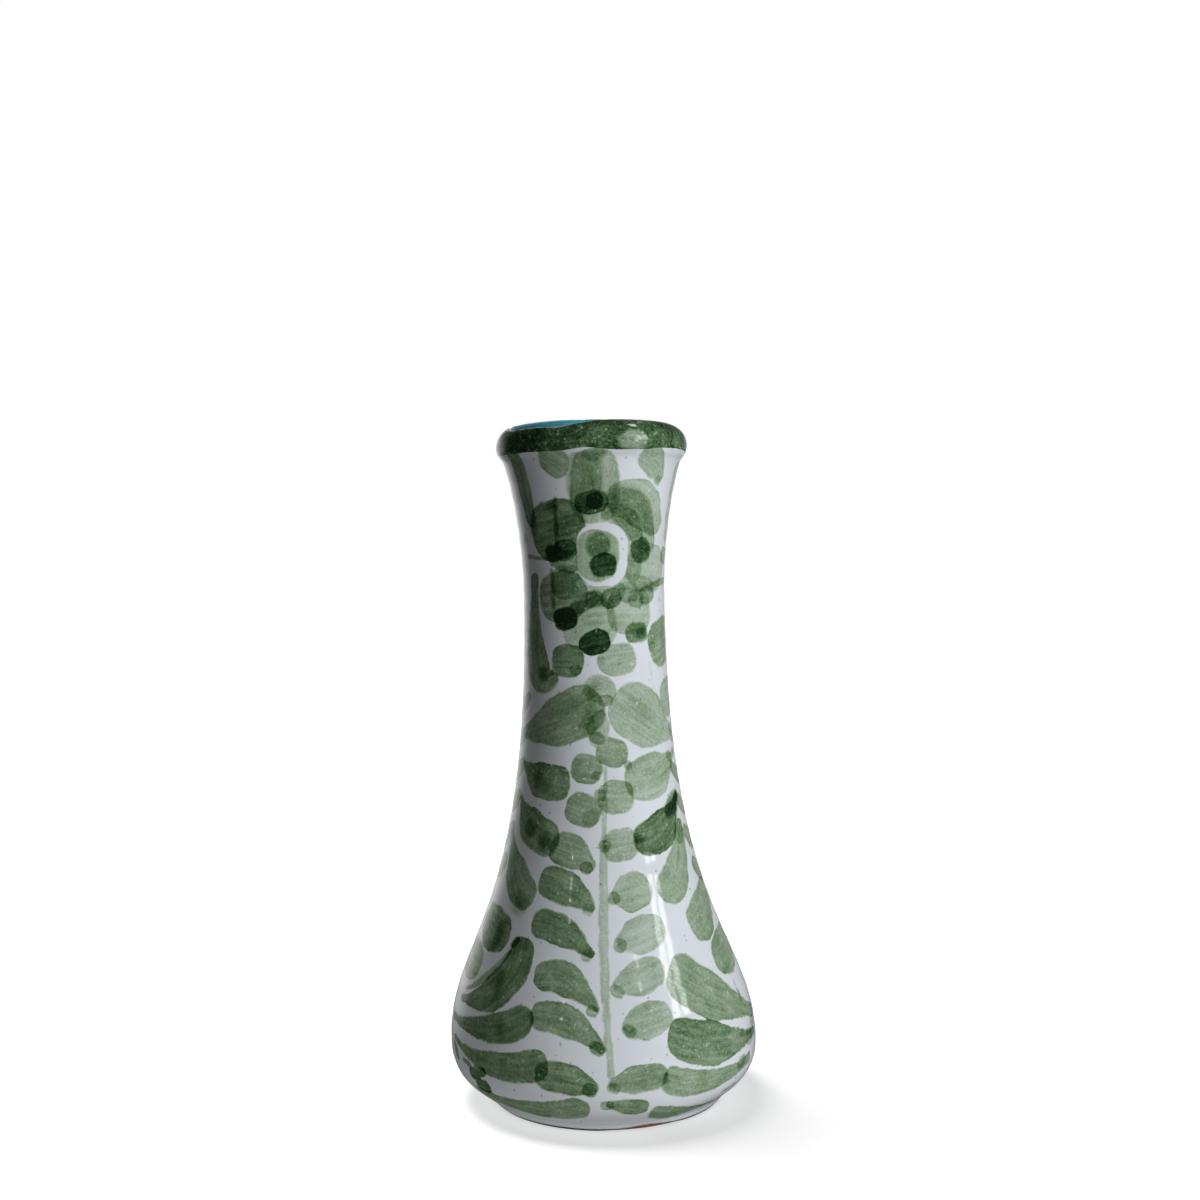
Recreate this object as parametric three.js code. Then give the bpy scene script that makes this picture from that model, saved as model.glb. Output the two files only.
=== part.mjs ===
// Hand-thrown pottery vase: one fired clay body under three fused coats of glaze.
// Millimetres, +Z up. The origin is the centre of the foot, on the surface it stands on.
import * as THREE from "three";

// Outline of the glazed outside, as [radius, height] pairs.
const HEIGHT = 199.2;
const FOOT_EDGE = [34.4, 0.4];
const BELLY = [45.5, 17.3];
const NECK = [20.9, 149];

// Handles that pull the curves between those places, as in a drawing program.
const FOOT_HANDLE = [37.7, 5.7];
const BELLY_HANDLES = [6, 46.4];
const NECK_HANDLES = [51.2, 165];
const FLARE_HANDLE = [23.9, 182.4];

// The lip is a quarter and more of an ellipse: its centre, its reach outwards, and the angles
// where it leaves the neck's flare and where it tops out.
const LIP_CENTRE = [21.3, 192.9];
const LIP_REACH = 6.9;
const LIP_START = -42;
const LIP_CROWN = 90;

// Outline of the glazed inside: mouth, bore of the neck, hollow of the belly and floor.
const MOUTH = [18.2, 194];
const BORE = [14.9, 149];
const HOLLOW = [39, 20];
const FLOOR_RADIUS = 24;
const FLOOR_HEIGHT = 8;
const MOUTH_HANDLES = [197.2, 184];
const BORE_HANDLES = [172, 57];
const HOLLOW_HANDLES = [48, 12];
const CROWN_HANDLE = 19.4;
const FLOOR_HANDLE = 34;

// Foot ring of bare clay around a turned recess.
const FOOT_OUTER = 33.2;
const FOOT_INNER = 26;
const FOOT_BEVEL = 0.5;
const RECESS_RADIUS = 24.8;
const RECESS_DEPTH = 2.4;

// Glaze thickness, and the gap that parts each coat from the clay and from the next coat.
const GLAZE = 0.8;
const GAP = 0.3;

// Where the green band of the rim starts on the outside, and where it stops short of the crown.
const RIM_BAND_HEIGHT = 187;
const RIM_BAND_END = 87;

// Fineness of the curves.
const AROUND = 48;
const WALL_STEPS = 8;
const LIP_STEP = 14;

const lipRise = HEIGHT - LIP_CENTRE[1];
const radians = THREE.MathUtils.degToRad;

function lipPoint(degrees) {
  const angle = radians(degrees);
  return new THREE.Vector2(
    LIP_CENTRE[0] + LIP_REACH * Math.cos(angle),
    LIP_CENTRE[1] + lipRise * Math.sin(angle),
  );
}

// The rounded outside of the lip, walked upwards to the crown.
function lipArc(from, to) {
  const count = Math.ceil((to - from) / LIP_STEP);
  const points = [];
  for (let i = 0; i <= count; i++) {
    points.push(lipPoint(from + ((to - from) * i) / count));
  }
  return points;
}

// Foot edge, belly, shoulder, neck and flare, up to where the lip begins.
function outerWall() {
  const flare = lipPoint(LIP_START);
  const path = new THREE.Path();
  path.moveTo(...FOOT_EDGE);
  path.bezierCurveTo(...FOOT_HANDLE, BELLY[0], BELLY_HANDLES[0], ...BELLY);
  path.bezierCurveTo(BELLY[0], BELLY_HANDLES[1], NECK[0], NECK_HANDLES[0], ...NECK);
  path.bezierCurveTo(NECK[0], NECK_HANDLES[1], ...FLARE_HANDLE, flare.x, flare.y);
  return path.getPoints(WALL_STEPS);
}

// Inner edge of the lip, throat, neck bore, hollow of the belly and floor, down to the axis.
function innerWall() {
  const path = new THREE.Path();
  path.moveTo(LIP_CENTRE[0], HEIGHT);
  path.bezierCurveTo(CROWN_HANDLE, HEIGHT, MOUTH[0], MOUTH_HANDLES[0], ...MOUTH);
  path.bezierCurveTo(MOUTH[0], MOUTH_HANDLES[1], BORE[0], BORE_HANDLES[0], ...BORE);
  path.bezierCurveTo(BORE[0], BORE_HANDLES[1], HOLLOW[0], HOLLOW_HANDLES[0], ...HOLLOW);
  path.bezierCurveTo(
    HOLLOW[0],
    HOLLOW_HANDLES[1],
    FLOOR_HANDLE,
    FLOOR_HEIGHT,
    FLOOR_RADIUS,
    FLOOR_HEIGHT,
  );
  return [...path.getPoints(WALL_STEPS), new THREE.Vector2(0, FLOOR_HEIGHT)];
}

// Moves every point of a curve sideways into the wall: left of its direction of travel.
function sunk(points, depth) {
  const last = points.length - 1;
  return points.map((point, i) => {
    const before = points[Math.max(i - 1, 0)];
    const after = points[Math.min(i + 1, last)];
    const along = after.clone().sub(before).normalize();
    const onAxis = point.x === 0;
    const side = onAxis ? new THREE.Vector2(0, -1) : new THREE.Vector2(-along.y, along.x);
    return point.clone().addScaledVector(side, depth);
  });
}

// The part of a curve above a height, starting exactly at that height.
function above(points, height) {
  const first = points.findIndex((point) => point.y > height);
  const low = points[first - 1];
  const high = points[first];
  const start = low.clone().lerp(high, (height - low.y) / (high.y - low.y));
  return [start, ...points.slice(first)];
}

function below(points, height) {
  const reversed = [...points].reverse().map((point) => new THREE.Vector2(point.x, -point.y));
  return above(reversed, -height)
    .map((point) => new THREE.Vector2(point.x, -point.y))
    .reverse();
}

// A coat of glaze: the surface it shows and the same curve one glaze thickness deeper.
function coat(surface) {
  const underside = sunk(surface, GLAZE).reverse();
  const reachesAxis = surface.at(-1).x === 0;
  return reachesAxis ? [...underside, ...surface] : [...surface, ...underside, surface[0]];
}

// Turns a profile of radius and height about the vertical axis.
function turned(name, profile, look) {
  const geometry = new THREE.LatheGeometry(profile, AROUND);
  geometry.rotateX(Math.PI / 2);
  const mesh = new THREE.Mesh(geometry, new THREE.MeshStandardMaterial(look));
  mesh.name = name;
  return mesh;
}

// Earthenware wall, floor and foot ring, thrown and turned as one piece.
function clayBody() {
  const foot = [
    [0, RECESS_DEPTH],
    [RECESS_RADIUS, RECESS_DEPTH],
    [FOOT_INNER, 0],
    [FOOT_OUTER, 0],
    [FOOT_OUTER + FOOT_BEVEL / 2, FOOT_BEVEL],
  ].map(([radius, height]) => new THREE.Vector2(radius, height));
  const lip = lipArc(LIP_START + LIP_STEP, LIP_CROWN - LIP_STEP);
  const skin = sunk([...outerWall(), ...lip, ...innerWall()], GLAZE + GAP);
  return turned("clay_body", [...foot, ...skin], {
    color: 0xb4694a,
    roughness: 0.9,
    metalness: 0,
  });
}

// White tin glaze on the outside, from just above the foot to the green band.
function whiteGlaze() {
  return turned("white_glaze", coat(below(outerWall(), RIM_BAND_HEIGHT)), {
    color: 0xd9dae2,
    roughness: 0.15,
    metalness: 0,
  });
}

// Copper-green glaze over the outside of the lip, up to its crown.
function rimGlaze() {
  const wall = above(outerWall(), RIM_BAND_HEIGHT + GAP);
  const surface = [...wall.slice(0, -1), ...lipArc(LIP_START, RIM_BAND_END)];
  return turned("rim_glaze", coat(surface), {
    color: 0x2c4a2a,
    roughness: 0.15,
    metalness: 0,
  });
}

// Turquoise glaze poured inside, from the crown of the lip to the floor.
function linerGlaze() {
  return turned("liner_glaze", coat(innerWall()), {
    color: 0x3f97b0,
    roughness: 0.15,
    metalness: 0,
  });
}

const vase = new THREE.Group();
vase.add(clayBody(), whiteGlaze(), rimGlaze(), linerGlaze());

export default vase;
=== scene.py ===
"""Looks for a hand-painted pottery vase: white tin glaze over terracotta, brushed with copper green.

Lengths are in millimetres until a mesh is made. An angle of 0 degrees faces the camera (-Y) and
angles grow towards +X. A brush stroke is a path of three places, each an angle and a height, with
the brush's half width at each, and an amount of pigment.
"""

import math

import bpy
import numpy as np
from mathutils import Matrix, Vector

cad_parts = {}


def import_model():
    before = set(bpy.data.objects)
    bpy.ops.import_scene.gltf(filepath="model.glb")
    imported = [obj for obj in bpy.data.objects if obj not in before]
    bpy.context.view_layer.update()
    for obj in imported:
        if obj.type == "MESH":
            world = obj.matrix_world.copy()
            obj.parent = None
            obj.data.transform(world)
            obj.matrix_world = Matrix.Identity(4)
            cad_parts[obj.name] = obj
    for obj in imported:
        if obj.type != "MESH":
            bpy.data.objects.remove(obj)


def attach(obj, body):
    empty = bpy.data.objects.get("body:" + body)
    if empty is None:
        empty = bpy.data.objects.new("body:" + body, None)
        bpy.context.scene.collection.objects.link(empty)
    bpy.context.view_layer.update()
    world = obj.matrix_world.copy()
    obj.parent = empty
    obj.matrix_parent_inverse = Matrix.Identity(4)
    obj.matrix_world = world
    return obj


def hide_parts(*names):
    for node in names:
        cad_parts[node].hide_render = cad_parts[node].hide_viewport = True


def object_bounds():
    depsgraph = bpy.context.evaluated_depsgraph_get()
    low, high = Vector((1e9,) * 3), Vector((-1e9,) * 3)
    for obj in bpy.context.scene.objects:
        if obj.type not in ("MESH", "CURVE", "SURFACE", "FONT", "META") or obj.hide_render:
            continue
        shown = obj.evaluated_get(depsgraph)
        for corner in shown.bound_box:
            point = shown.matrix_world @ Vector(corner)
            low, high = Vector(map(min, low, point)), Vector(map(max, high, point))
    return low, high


MM = 0.001
SEED = 7

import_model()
cad_low, cad_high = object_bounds()
rng = np.random.default_rng(SEED)

# ---------------------------------------------------------------- outline of the vase

HEIGHT = cad_high.z / MM
FOOT_EDGE = (34.1, 0.02)
BELLY = (cad_high.x / MM, 17.3)
NECK = (20.9, 149)
LIP_CENTRE = (21.3, 192.9)
LIP_REACH = 6.9
LIP_START = -42
MOUTH = (18.2, 194)
BORE = (14.9, 149)
HOLLOW = (39, 20)
FLOOR = (24, 8)
RECESS_DEPTH = 2.4
RECESS_RADIUS = 24.2
TOOL_PITCH = 2.2
TOOL_MARK = 0.08

GLAZE = 0.8
CLAY_DEPTH = 1.2
RIM_BAND_HEIGHT = 190.3

AROUND = 320
BODY_ROWS = 268
RIM_ROWS = 44
LINER_ROWS = 90
CLAY_ROWS = 130
BACK_ROWS = 16


def bezier(start, first, second, end, count=60):
    t = np.linspace(0, 1, count)[:, None]
    start, first, second, end = (np.array(p, float) for p in (start, first, second, end))
    return (
        (1 - t) ** 3 * start
        + 3 * (1 - t) ** 2 * t * first
        + 3 * (1 - t) * t**2 * second
        + t**3 * end
    )


def lip_point(degrees):
    angle = math.radians(degrees)
    rise = HEIGHT - LIP_CENTRE[1]
    return (
        LIP_CENTRE[0] + LIP_REACH * math.cos(angle),
        LIP_CENTRE[1] + rise * math.sin(angle),
    )


def chain(*curves):
    """Joins curves that start where the one before ends."""
    return np.vstack([curves[0], *[curve[1:] for curve in curves[1:]]])


def outside():
    lip = np.array([lip_point(a) for a in np.linspace(LIP_START, 90, 40)])
    return chain(
        bezier(FOOT_EDGE, (37.7, 5.7), (BELLY[0], 6), BELLY),
        bezier(BELLY, (BELLY[0], 46.4), (NECK[0], 51.2), NECK, 160),
        bezier(NECK, (NECK[0], 165), (23.9, 182.4), lip_point(LIP_START)),
        lip,
    )


def inside():
    return chain(
        bezier((LIP_CENTRE[0], HEIGHT), (19.4, HEIGHT), (MOUTH[0], 197.2), MOUTH),
        bezier(MOUTH, (MOUTH[0], 184), (BORE[0], 172), BORE),
        bezier(BORE, (BORE[0], 57), (HOLLOW[0], 48), HOLLOW, 160),
        bezier(HOLLOW, (HOLLOW[0], 12), (34, FLOOR[1]), FLOOR),
        np.array([FLOOR, (0.05, FLOOR[1])]),
    )


class Outline:
    """A curve of radius and height that is walked by its own length."""

    def __init__(self, points):
        steps = np.diff(points, axis=0)
        self.walked = np.concatenate([[0], np.cumsum(np.hypot(*steps.T))])
        self.points = points
        tangent = np.gradient(points, self.walked, axis=0)
        self.tangent = tangent / np.hypot(*tangent.T)[:, None]
        self.length = self.walked[-1]

    def at(self, walk, depth=0):
        """Radius and height a way along the curve, sunk to the left of its direction of travel."""
        radius, height = (np.interp(walk, self.walked, self.points[:, i]) for i in (0, 1))
        along_r, along_z = (np.interp(walk, self.walked, self.tangent[:, i]) for i in (0, 1))
        return radius - along_z * depth, height + along_r * depth

    def walk_to(self, height):
        """How far along an upward curve a height is reached."""
        return np.interp(height, self.points[:, 1], self.walked)


# The liner's outline starts part of the way down the outside of the lip, in degrees round its arc,
# so that the liner can lap over the crown as far as the band leaves room for it.
LINER_ROLL = 34
LINER_ROLL_POINTS = 24

OUTSIDE = Outline(outside())
LINER_LIP = np.array([lip_point(a) for a in np.linspace(LINER_ROLL, 90, LINER_ROLL_POINTS)])
LINER = Outline(chain(LINER_LIP, inside()))
LINER_EDGE = LINER.walked[LINER_ROLL_POINTS - 1]


def radius_at(height):
    return OUTSIDE.at(OUTSIDE.walk_to(height))[0]


# ---------------------------------------------------------------- hand-made unevenness

RING_PITCH = 6.5
RING_DEPTH = 0.035
RING_DRIFT = 0.8
RING_DRIFT_HEIGHT = 19
SLOW_WAVE = 0.012
FOOT_GROOVE = 0.14
FOOT_GROOVE_HEIGHT = 2.3
FOOT_GROOVE_WIDTH = 0.45
FOOT_LEAN = 1.6
FOOT_LEAN_FADES = 16
WAVES = [
    (rng.integers(1, 9), rng.normal(0, 0.11), rng.uniform(0, 2 * math.pi), rng.uniform(0.4, 1))
    for _ in range(14)
]


def ripple(angle, height):
    """How far the thrown wall strays from its true outline: a spiral of soft rings and slow waves."""
    turn = np.radians(angle)
    drift = RING_DRIFT * np.sin(height / RING_DRIFT_HEIGHT)
    rings = np.sin(2 * math.pi * height / RING_PITCH + turn + drift)
    slow = sum(size * np.sin(m * turn + k * height + phase) for m, k, phase, size in WAVES)
    groove = np.exp(-(((height - FOOT_GROOVE_HEIGHT) / FOOT_GROOVE_WIDTH) ** 2))
    return RING_DEPTH * rings + SLOW_WAVE * slow - FOOT_GROOVE * groove


def sway(height):
    """How far the foot was thrown off the axis of the neck."""
    return FOOT_LEAN * np.exp(-height / FOOT_LEAN_FADES)


def near_angle(angle, centre, width):
    """1 at one angle round the vase, fading to 0 on both sides of it."""
    return np.exp(-((((angle - centre) + 180) % 360 - 180) / width) ** 2)


def wavering(angle, size, counts=(2, 3, 5, 8, 13), phase=0.0):
    """A closed uneven line round the vase."""
    turn = np.radians(angle)
    return size * sum(np.sin(n * turn + phase + 1.7 * n) / math.sqrt(n) for n in counts)


# ---------------------------------------------------------------- turned meshes


def coat(name, outline, start, stop, rows, depth=GLAZE, rough=ripple, round_edge=0.4):
    """A coat of glaze or clay: its shown surface, rounded edges, and a plain back face."""
    angle = np.arange(AROUND) * 360 / AROUND
    first = start(angle) if callable(start) else np.full(AROUND, float(start))
    last = stop(angle) if callable(stop) else np.full(AROUND, float(stop))
    share = np.linspace(0, 1, rows)[:, None]
    walk = first + (last - first) * share
    edge = np.minimum(np.minimum(walk - first, last - walk), round_edge) / round_edge
    fall = round_edge * (1 - np.sqrt(1 - (1 - edge) ** 2))
    height = outline.at(walk)[1]
    sunk = fall - rough(angle[None, :], height)
    front = outline.at(walk, sunk)
    back_walk = last + (first - last) * np.linspace(0, 1, BACK_ROWS)[:, None]
    back = outline.at(back_walk, depth)
    radius = np.vstack([front[0], back[0]])
    level = np.vstack([front[1], back[1]])
    turn = np.radians(angle)[None, :]
    across = radius * np.sin(turn) + sway(level)
    places = np.stack([across, -radius * np.cos(turn), level], -1).reshape(-1, 3)
    ring = np.arange(AROUND)
    ring_next = (ring + 1) % AROUND
    count = len(radius)
    row = np.arange(count)[:, None] * AROUND
    row_next = ((np.arange(count)[:, None] + 1) % count) * AROUND
    faces = np.stack([row + ring, row + ring_next, row_next + ring_next, row_next + ring], -1)
    mesh = bpy.data.meshes.new(name)
    mesh.from_pydata((places * MM).tolist(), [], faces.reshape(-1, 4).tolist())
    mesh.shade_smooth()
    unwrap(mesh, count)
    piece = bpy.data.objects.new(name, mesh)
    bpy.context.scene.collection.objects.link(piece)
    return piece, angle[None, :] + np.zeros_like(walk), walk


def unwrap(mesh, count):
    """One seam up the back, so that the bake keeps the brushwork in one piece."""
    layer = mesh.uv_layers.new(name="OFBake")
    u = np.empty((count, AROUND, 4))
    v = np.empty((count, AROUND, 4))
    across = np.arange(AROUND) / AROUND
    left = (across + 0.5) % 1.0
    right = left + 1 / AROUND
    u[:, :, 0] = u[:, :, 3] = left
    u[:, :, 1] = u[:, :, 2] = right
    up = np.arange(count)[:, None] / count
    v[:, :, 0] = v[:, :, 1] = up
    v[:, :, 2] = v[:, :, 3] = up + 1 / count
    layer.data.foreach_set("uv", np.stack([u, v], -1).astype(np.float32).ravel())


# ---------------------------------------------------------------- brushwork

LAYERS = 8
LATE_FROM = 4
FAR = -9.0
PATH_STEPS = 18
BLUNT = 2.6
WIDTH_PLACES = (0.12, 0.5, 0.88)
GUTTER = 0.9
DEGREES_PER_MM = 6
PALEST_TONE = 0.3
DARKEST_TONE = 1.7


class Stroke:
    """One touch of the brush, from tip to tip."""

    def __init__(self, ink, path, widths, soft=0.22, late=False, fade=0.0, side=0.0):
        self.ink = ink
        self.fade = fade + rng.normal(0, 0.06)
        self.side = side + rng.normal(0, 0.08)
        self.path = np.array(path, float)
        self.widths = widths
        self.soft = soft
        self.late = late
        self.phase = rng.uniform(0, 40)


def field(stroke, angle, height):
    """Signed distance inside the stroke, and distances along and across it, in millimetres."""
    start, middle, end = stroke.path
    bend = 2 * middle - (start + end) / 2
    t = np.linspace(0, 1, PATH_STEPS + 1)[:, None]
    spine = (1 - t) ** 2 * start + 2 * t * (1 - t) * bend + t**2 * end
    t = t[:, 0]
    width = np.interp(t, WIDTH_PLACES, stroke.widths)
    scale = np.radians(radius_at(np.clip(spine[:, 1], 1, HEIGHT - 7)))
    flat = np.stack([(spine[:, 0] - start[0]) * scale, spine[:, 1]], -1)
    steps = np.hypot(*np.diff(flat, axis=0).T)
    walked = np.concatenate([[0], np.cumsum(steps)])
    length = walked[-1]
    half_step = length / PATH_STEPS / 2
    best = np.full(angle.shape, FAR)
    along = np.zeros_like(best)
    across = np.zeros_like(best)
    tangents = np.gradient(flat, walked, axis=0)
    for i in range(PATH_STEPS + 1):
        reach = min(width[i], walked[i] - half_step, length - walked[i] - half_step)
        if reach <= 0:
            continue
        tangent = tangents[i] / np.hypot(*tangents[i])
        dx = ((angle - spine[i, 0] + 180) % 360 - 180) * scale[i]
        dz = height - spine[i, 1]
        u = dx * tangent[0] + dz * tangent[1]
        v = dz * tangent[0] - dx * tangent[1]
        over = np.maximum(np.abs(u) - half_step, 0)
        inside_by = reach - (over**BLUNT + np.abs(v) ** BLUNT) ** (1 / BLUNT)
        better = inside_by > best
        best = np.where(better, inside_by, best)
        along = np.where(better, walked[i] + np.clip(u, -1, 1), along)
        across = np.where(better, v, across)
    return best, along, across


class Canvas:
    """Keeps, for each place on a surface, the strokes that cover it in layers that can overlap."""

    def __init__(self, angle, height):
        self.angle = angle.ravel()
        self.height = height.ravel()
        blank = np.zeros((LAYERS, self.angle.size, 3), np.float32)
        self.cover = blank.copy()
        self.cover[:, :, 0] = FAR
        self.grain = blank
        self.reserve = np.full(self.angle.size, FAR)

    def near(self, stroke):
        reach = max(stroke.widths) + stroke.soft + 2
        lowest, highest = stroke.path[:, 1].min() - reach, stroke.path[:, 1].max() + reach
        left = stroke.path[:, 0].min() - DEGREES_PER_MM * reach
        right = stroke.path[:, 0].max() + DEGREES_PER_MM * reach
        middle, half = (left + right) / 2, (right - left) / 2
        beside = np.abs((self.angle - middle + 180) % 360 - 180) < half
        return np.flatnonzero(beside & (self.height > lowest) & (self.height < highest))

    def paint(self, stroke):
        spot = self.near(stroke)
        inside_by, along, across = field(stroke, self.angle[spot], self.height[spot])
        gutter = stroke.soft + GUTTER
        allowed = range(LATE_FROM, LAYERS) if stroke.late else range(LATE_FROM)
        for layer in allowed:
            kept = self.cover[layer, spot]
            if not np.any((inside_by > -gutter) & (kept[:, 0] > -kept[:, 2] - GUTTER)):
                break
        over = inside_by > np.maximum(self.cover[layer, spot, 0], FAR + 0.1)
        target = spot[over]
        lengthwise = stroke.fade * along / max(along.max(), 1)
        sideways = stroke.side * across / max(stroke.widths)
        tone = np.clip(1 + lengthwise + sideways, PALEST_TONE, DARKEST_TONE)
        self.cover[layer, target, 0] = inside_by[over]
        self.cover[layer, target, 1] = stroke.ink * tone[over]
        self.cover[layer, target, 2] = stroke.soft
        self.grain[layer, target, 0] = along[over]
        self.grain[layer, target, 1] = across[over]
        self.grain[layer, target, 2] = stroke.phase

    def keep_clear(self, stroke):
        """Leaves a shape unpainted, under what is painted late."""
        spot = self.near(stroke)
        inside_by = field(stroke, self.angle[spot], self.height[spot])[0]
        self.reserve[spot] = np.maximum(self.reserve[spot], inside_by)

    def store(self, piece):
        """Writes the layers to the piece's points, the plain back faces included."""
        total = len(piece.data.vertices)
        for layer in range(LAYERS):
            for kind, values, empty in (
                ("cover", self.cover[layer], (FAR, 0, 1)),
                ("grain", self.grain[layer], (0, 0, 0)),
            ):
                data = np.tile(np.array(empty, np.float32), (total, 1))
                data[: len(values)] = values
                attribute = piece.data.attributes.new(f"{kind}{layer}", "FLOAT_VECTOR", "POINT")
                attribute.data.foreach_set("vector", data.ravel())
        data = np.full(total, FAR, np.float32)
        data[: self.reserve.size] = self.reserve
        attribute = piece.data.attributes.new("reserve", "FLOAT", "POINT")
        attribute.data.foreach_set("value", data)


SPRIG_STEP = 9.5
SPRIG_REACH = 640


def leaf(ink, start, middle, end, widths, **kind):
    return Stroke(ink, (start, middle, end), widths, **kind)


def dab(ink, start, end, width, **kind):
    middle = ((start[0] + end[0]) / 2, (start[1] + end[1]) / 2)
    return Stroke(ink, (start, middle, end), (0.72 * width, width, 0.72 * width), late=True, **kind)


def puddle(ink, start, end, width):
    """Pigment that ran together: a dark patch with no edge of its own."""
    return dab(ink, start, end, width, soft=1.2)


def fern():
    """The tall frond: a pale stalk with a leaf and a dark dab at every joint."""
    stalk = [leaf(0.4, (6.5, 103), (2, 60), (2.8, 17.5), (0.7, 1.5, 1.1))]
    left = [
        leaf(1.0, (-17.8, 99.3), (-8.5, 100.2), (2.9, 98), (4.2, 5.1, 2.8)),
        leaf(0.94, (-21, 88.8), (-11, 88.9), (0.8, 86), (4.1, 5.2, 2.8)),
        leaf(0.85, (-29.6, 77.3), (-17.5, 77.3), (-3.2, 72.4), (4.2, 4.9, 2)),
        leaf(1.1, (-35, 67.8), (-20, 67.6), (-2.5, 61.6), (4.2, 4.9, 1.9)),
        leaf(1.2, (-35.2, 57), (-19.5, 56.2), (-3.2, 49.6), (3.9, 4.2, 1.5)),
        leaf(1.14, (-28.7, 43.2), (-15, 43.8), (-1.2, 36), (3.8, 4.3, 1.7)),
        leaf(1.06, (-27.4, 33), (-13, 33.4), (0.7, 25.4), (4, 4.2, 1.6)),
        leaf(1.15, (-24.6, 18.3), (-13, 18.3), (-2, 15.4), (4, 4.5, 1.8)),
        leaf(0.9, (-58, 9), (-28, 7.7), (-6.4, 10.8), (1.8, 3.1, 3.8)),
    ]
    right = [
        leaf(0.85, (0.5, 106.5), (12, 104.5), (23, 104.5), (2.2, 4.8, 4.2)),
        leaf(0.66, (0, 92.3), (13, 92), (24.8, 91.5), (2.2, 4.9, 4.4)),
        leaf(0.6, (2.5, 78.3), (14, 78.8), (24.5, 79.5), (2, 5.1, 4.4)),
        leaf(0.55, (7, 64.7), (18.5, 66), (29.5, 67.5), (1.9, 5.2, 4.3)),
        leaf(0.52, (8, 52.6), (20, 54.6), (33, 56), (2, 5, 4)),
        leaf(0.52, (4.5, 41.6), (16.5, 44), (28, 46), (1.6, 4.6, 3.6)),
        leaf(0.56, (7.6, 31.2), (17, 33), (27.2, 34.4), (2.4, 4.8, 3.4)),
        leaf(1.0, (1.8, 16.6), (12, 18), (22.7, 18.5), (1.7, 4, 3.3)),
        leaf(1.12, (0, 11.3), (9, 10.1), (15.7, 9.6), (1.2, 2.7, 2.2)),
        leaf(0.85, (16.8, 8.2), (29, 5.4), (52, 5), (3.2, 2.2, 0.8)),
    ]
    joints = [
        dab(0.45, (-4, 98.6), (2.6, 98), 3.1),
        dab(0.4, (-10, 86.6), (0.5, 86.3), 2.4),
        dab(0.75, (-10.6, 73.2), (-3.5, 72.6), 2.6),
        dab(0.5, (-8.8, 62.3), (-2.6, 61.6), 2.2),
        dab(0.5, (-8.6, 50.1), (-3.4, 49.4), 1.7),
        dab(0.7, (-5.6, 37), (-1.3, 35.3), 1.9),
        dab(0.9, (-4, 28), (0.5, 25), 1.8),
        dab(0.8, (-7.8, 15.7), (-2.2, 15.4), 1.9),
        dab(0.5, (19, 100.2), (25.5, 101.2), 1.3),
        dab(0.6, (-2.5, 92.8), (6, 92.6), 2.3),
        dab(0.65, (0.3, 79.1), (7.7, 78), 2.2),
        dab(0.7, (4.8, 65.2), (11.2, 64), 2.1),
        dab(0.75, (6.3, 53), (12, 51.6), 1.8),
        dab(0.6, (3.6, 42), (9, 39.7), 1.6),
        dab(0.75, (7.4, 32), (12.2, 29.8), 1.7),
        dab(0.6, (1.1, 16.6), (5.7, 15.3), 1.5),
        dab(0.7, (-2, 11.2), (3, 10.5), 1.5),
        dab(0.5, (21.8, 19.6), (22.6, 15.6), 0.7),
    ]
    return stalk + left + right + joints


def left_plume():
    """Leaves that fan out to the left of the frond."""
    leaves = [
        leaf(1.25, (-66, 101), (-40, 96.2), (-18.6, 97.2), (1.4, 5.2, 5.2)),
        leaf(1.08, (-64, 91.2), (-46, 82.7), (-24.7, 79.7), (1.2, 5.3, 5)),
        leaf(0.9, (-69, 80.5), (-53, 68.4), (-36.8, 63.6), (1.5, 5.4, 4.6)),
        leaf(1.2, (-78, 57), (-62, 53.4), (-47, 53.2), (4, 6, 4.2)),
        leaf(0.85, (-86, 45), (-73, 43.2), (-62, 43.4), (5, 5.4, 3.2)),
        leaf(0.8, (-70, 35.5), (-56, 40.6), (-43.5, 49.8), (0.7, 1.5, 1)),
        leaf(1.3, (-73, 32.6), (-46.5, 39), (-36.5, 53.2), (1.2, 5.4, 4.8)),
        leaf(1.3, (-80, 26.5), (-44, 28.8), (-26.8, 35.4), (1.2, 3.9, 4.8)),
        leaf(1.15, (-74, 22), (-42, 19), (-19.6, 23), (1, 3.7, 4.6)),
    ]
    touches = [
        puddle(1.2, (-47, 99), (-43, 94), 2.2),
        puddle(1.0, (-40, 95.5), (-33, 95), 1.5),
        puddle(1.1, (-53, 84), (-43, 81), 3.2),
        puddle(1.1, (-37, 82), (-32, 77), 2.6),
        puddle(1.0, (-52, 64), (-42, 59.5), 3),
        puddle(0.3, (-57, 71), (-54, 62), 1.6),
        puddle(1.1, (-56, 56), (-56, 47.5), 2.6),
        dab(1.8, (-44.8, 50), (-40.5, 53), 1.2),
        puddle(0.8, (-47, 44), (-45, 37), 2),
        puddle(0.9, (-42, 31), (-38, 27.5), 2),
        dab(1.4, (-58, 13.6), (-47, 16.5), 2),
        dab(1.6, (-55, 11), (-46, 12), 2.2),
        dab(0.9, (-63, 17), (-55, 16), 0.8),
        dab(1.1, (-73, 20), (-67, 15.5), 1.5),
        puddle(0.8, (-34, 5.2), (-23, 5.6), 0.5),
    ]
    return leaves + touches


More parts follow.
